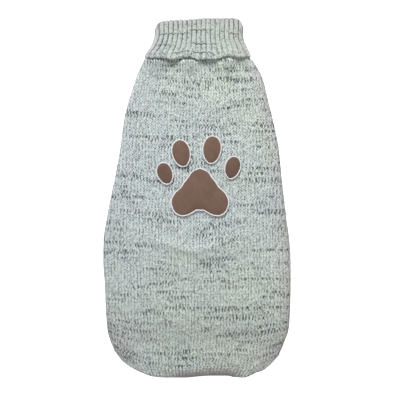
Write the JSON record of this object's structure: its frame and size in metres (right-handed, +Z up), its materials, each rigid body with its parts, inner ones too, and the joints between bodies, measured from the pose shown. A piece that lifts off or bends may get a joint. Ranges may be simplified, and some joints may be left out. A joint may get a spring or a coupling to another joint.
{
  "type": "dog sweater",
  "caption": "Knitted pet sweater laid flat, with a fold-over rib collar, a paw applique on the back and a turned tail hem.",
  "frame": {"origin": "centre of the garment's footprint on the surface that it lies on", "axes": "+Y along the back towards the neck, +Z up out of the back, +X to the right as seen from above"},
  "size_m": [0.2075, 0.3982, 0.0121],
  "materials": {
    "marled_knit": "stocking-stitch jersey in pale grey-green yarn marled with charcoal",
    "rib_knit": "1x1 rib in the same marled yarn",
    "brown_felt": "brushed brown felt",
    "cream_thread": "cream satin-stitch edging thread"
  },
  "bodies": {
    "root": {"back_panel": "marled_knit", "belly_panel": "marled_knit", "tail_welt": "marled_knit", "collar": "rib_knit", "toe_pad_1": "brown_felt", "toe_pad_2": "brown_felt", "toe_pad_3": "brown_felt", "toe_pad_4": "brown_felt", "palm_pad": "brown_felt", "toe_edging_1": "cream_thread", "toe_edging_2": "cream_thread", "toe_edging_3": "cream_thread", "toe_edging_4": "cream_thread", "palm_edging": "cream_thread"}
  },
  "joints": []
}
